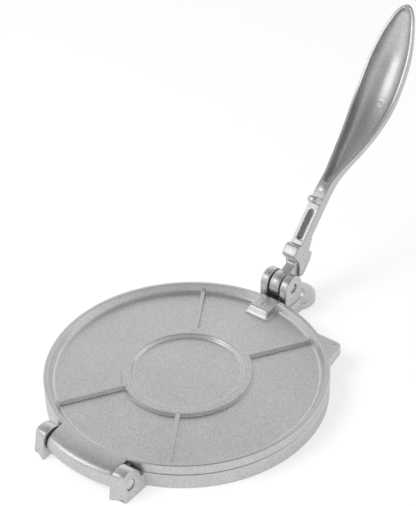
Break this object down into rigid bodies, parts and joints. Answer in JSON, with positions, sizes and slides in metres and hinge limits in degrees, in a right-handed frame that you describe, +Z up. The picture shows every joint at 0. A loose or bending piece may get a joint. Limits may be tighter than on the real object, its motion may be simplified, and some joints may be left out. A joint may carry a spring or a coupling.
{
  "type": "tortilla press",
  "caption": "Round die-cast hand press for flattening tortillas: ribbed hinged upper plate, flat base with clevis and hanging tongue, hollow spoon-shaped lever handle.",
  "frame": {"origin": "centre of the round plates, on the surface that the press stands on", "axes": "+Z up, +X from the plates' hinge to the handle's clevis, +Y across, along both pins"},
  "size_m": [0.3959, 0.203, 0.1949],
  "materials": {
    "cast_aluminium": "fine-grained satin, as die-cast and tumbled",
    "steel": "bright drawn steel"
  },
  "bodies": {
    "base": {"base": "cast_aluminium", "tongue": "cast_aluminium", "hinge_rod": "steel", "handle_pin": "steel"},
    "upper_plate": {"upper_plate": "cast_aluminium"},
    "handle": {"handle": "cast_aluminium"}
  },
  "joints": [
    {"name": "plate_hinge", "type": "hinge", "parent": "base", "child": "upper_plate", "pos_m": [-0.1065, 0, 0.011], "axis": [0, -1, 0], "range_deg": [0, 112]},
    {"name": "handle_pivot", "type": "hinge", "parent": "base", "child": "handle", "pos_m": [0.1135, 0, 0.026], "axis": [0, -1, 0], "range_deg": [0, 127.5]}
  ]
}
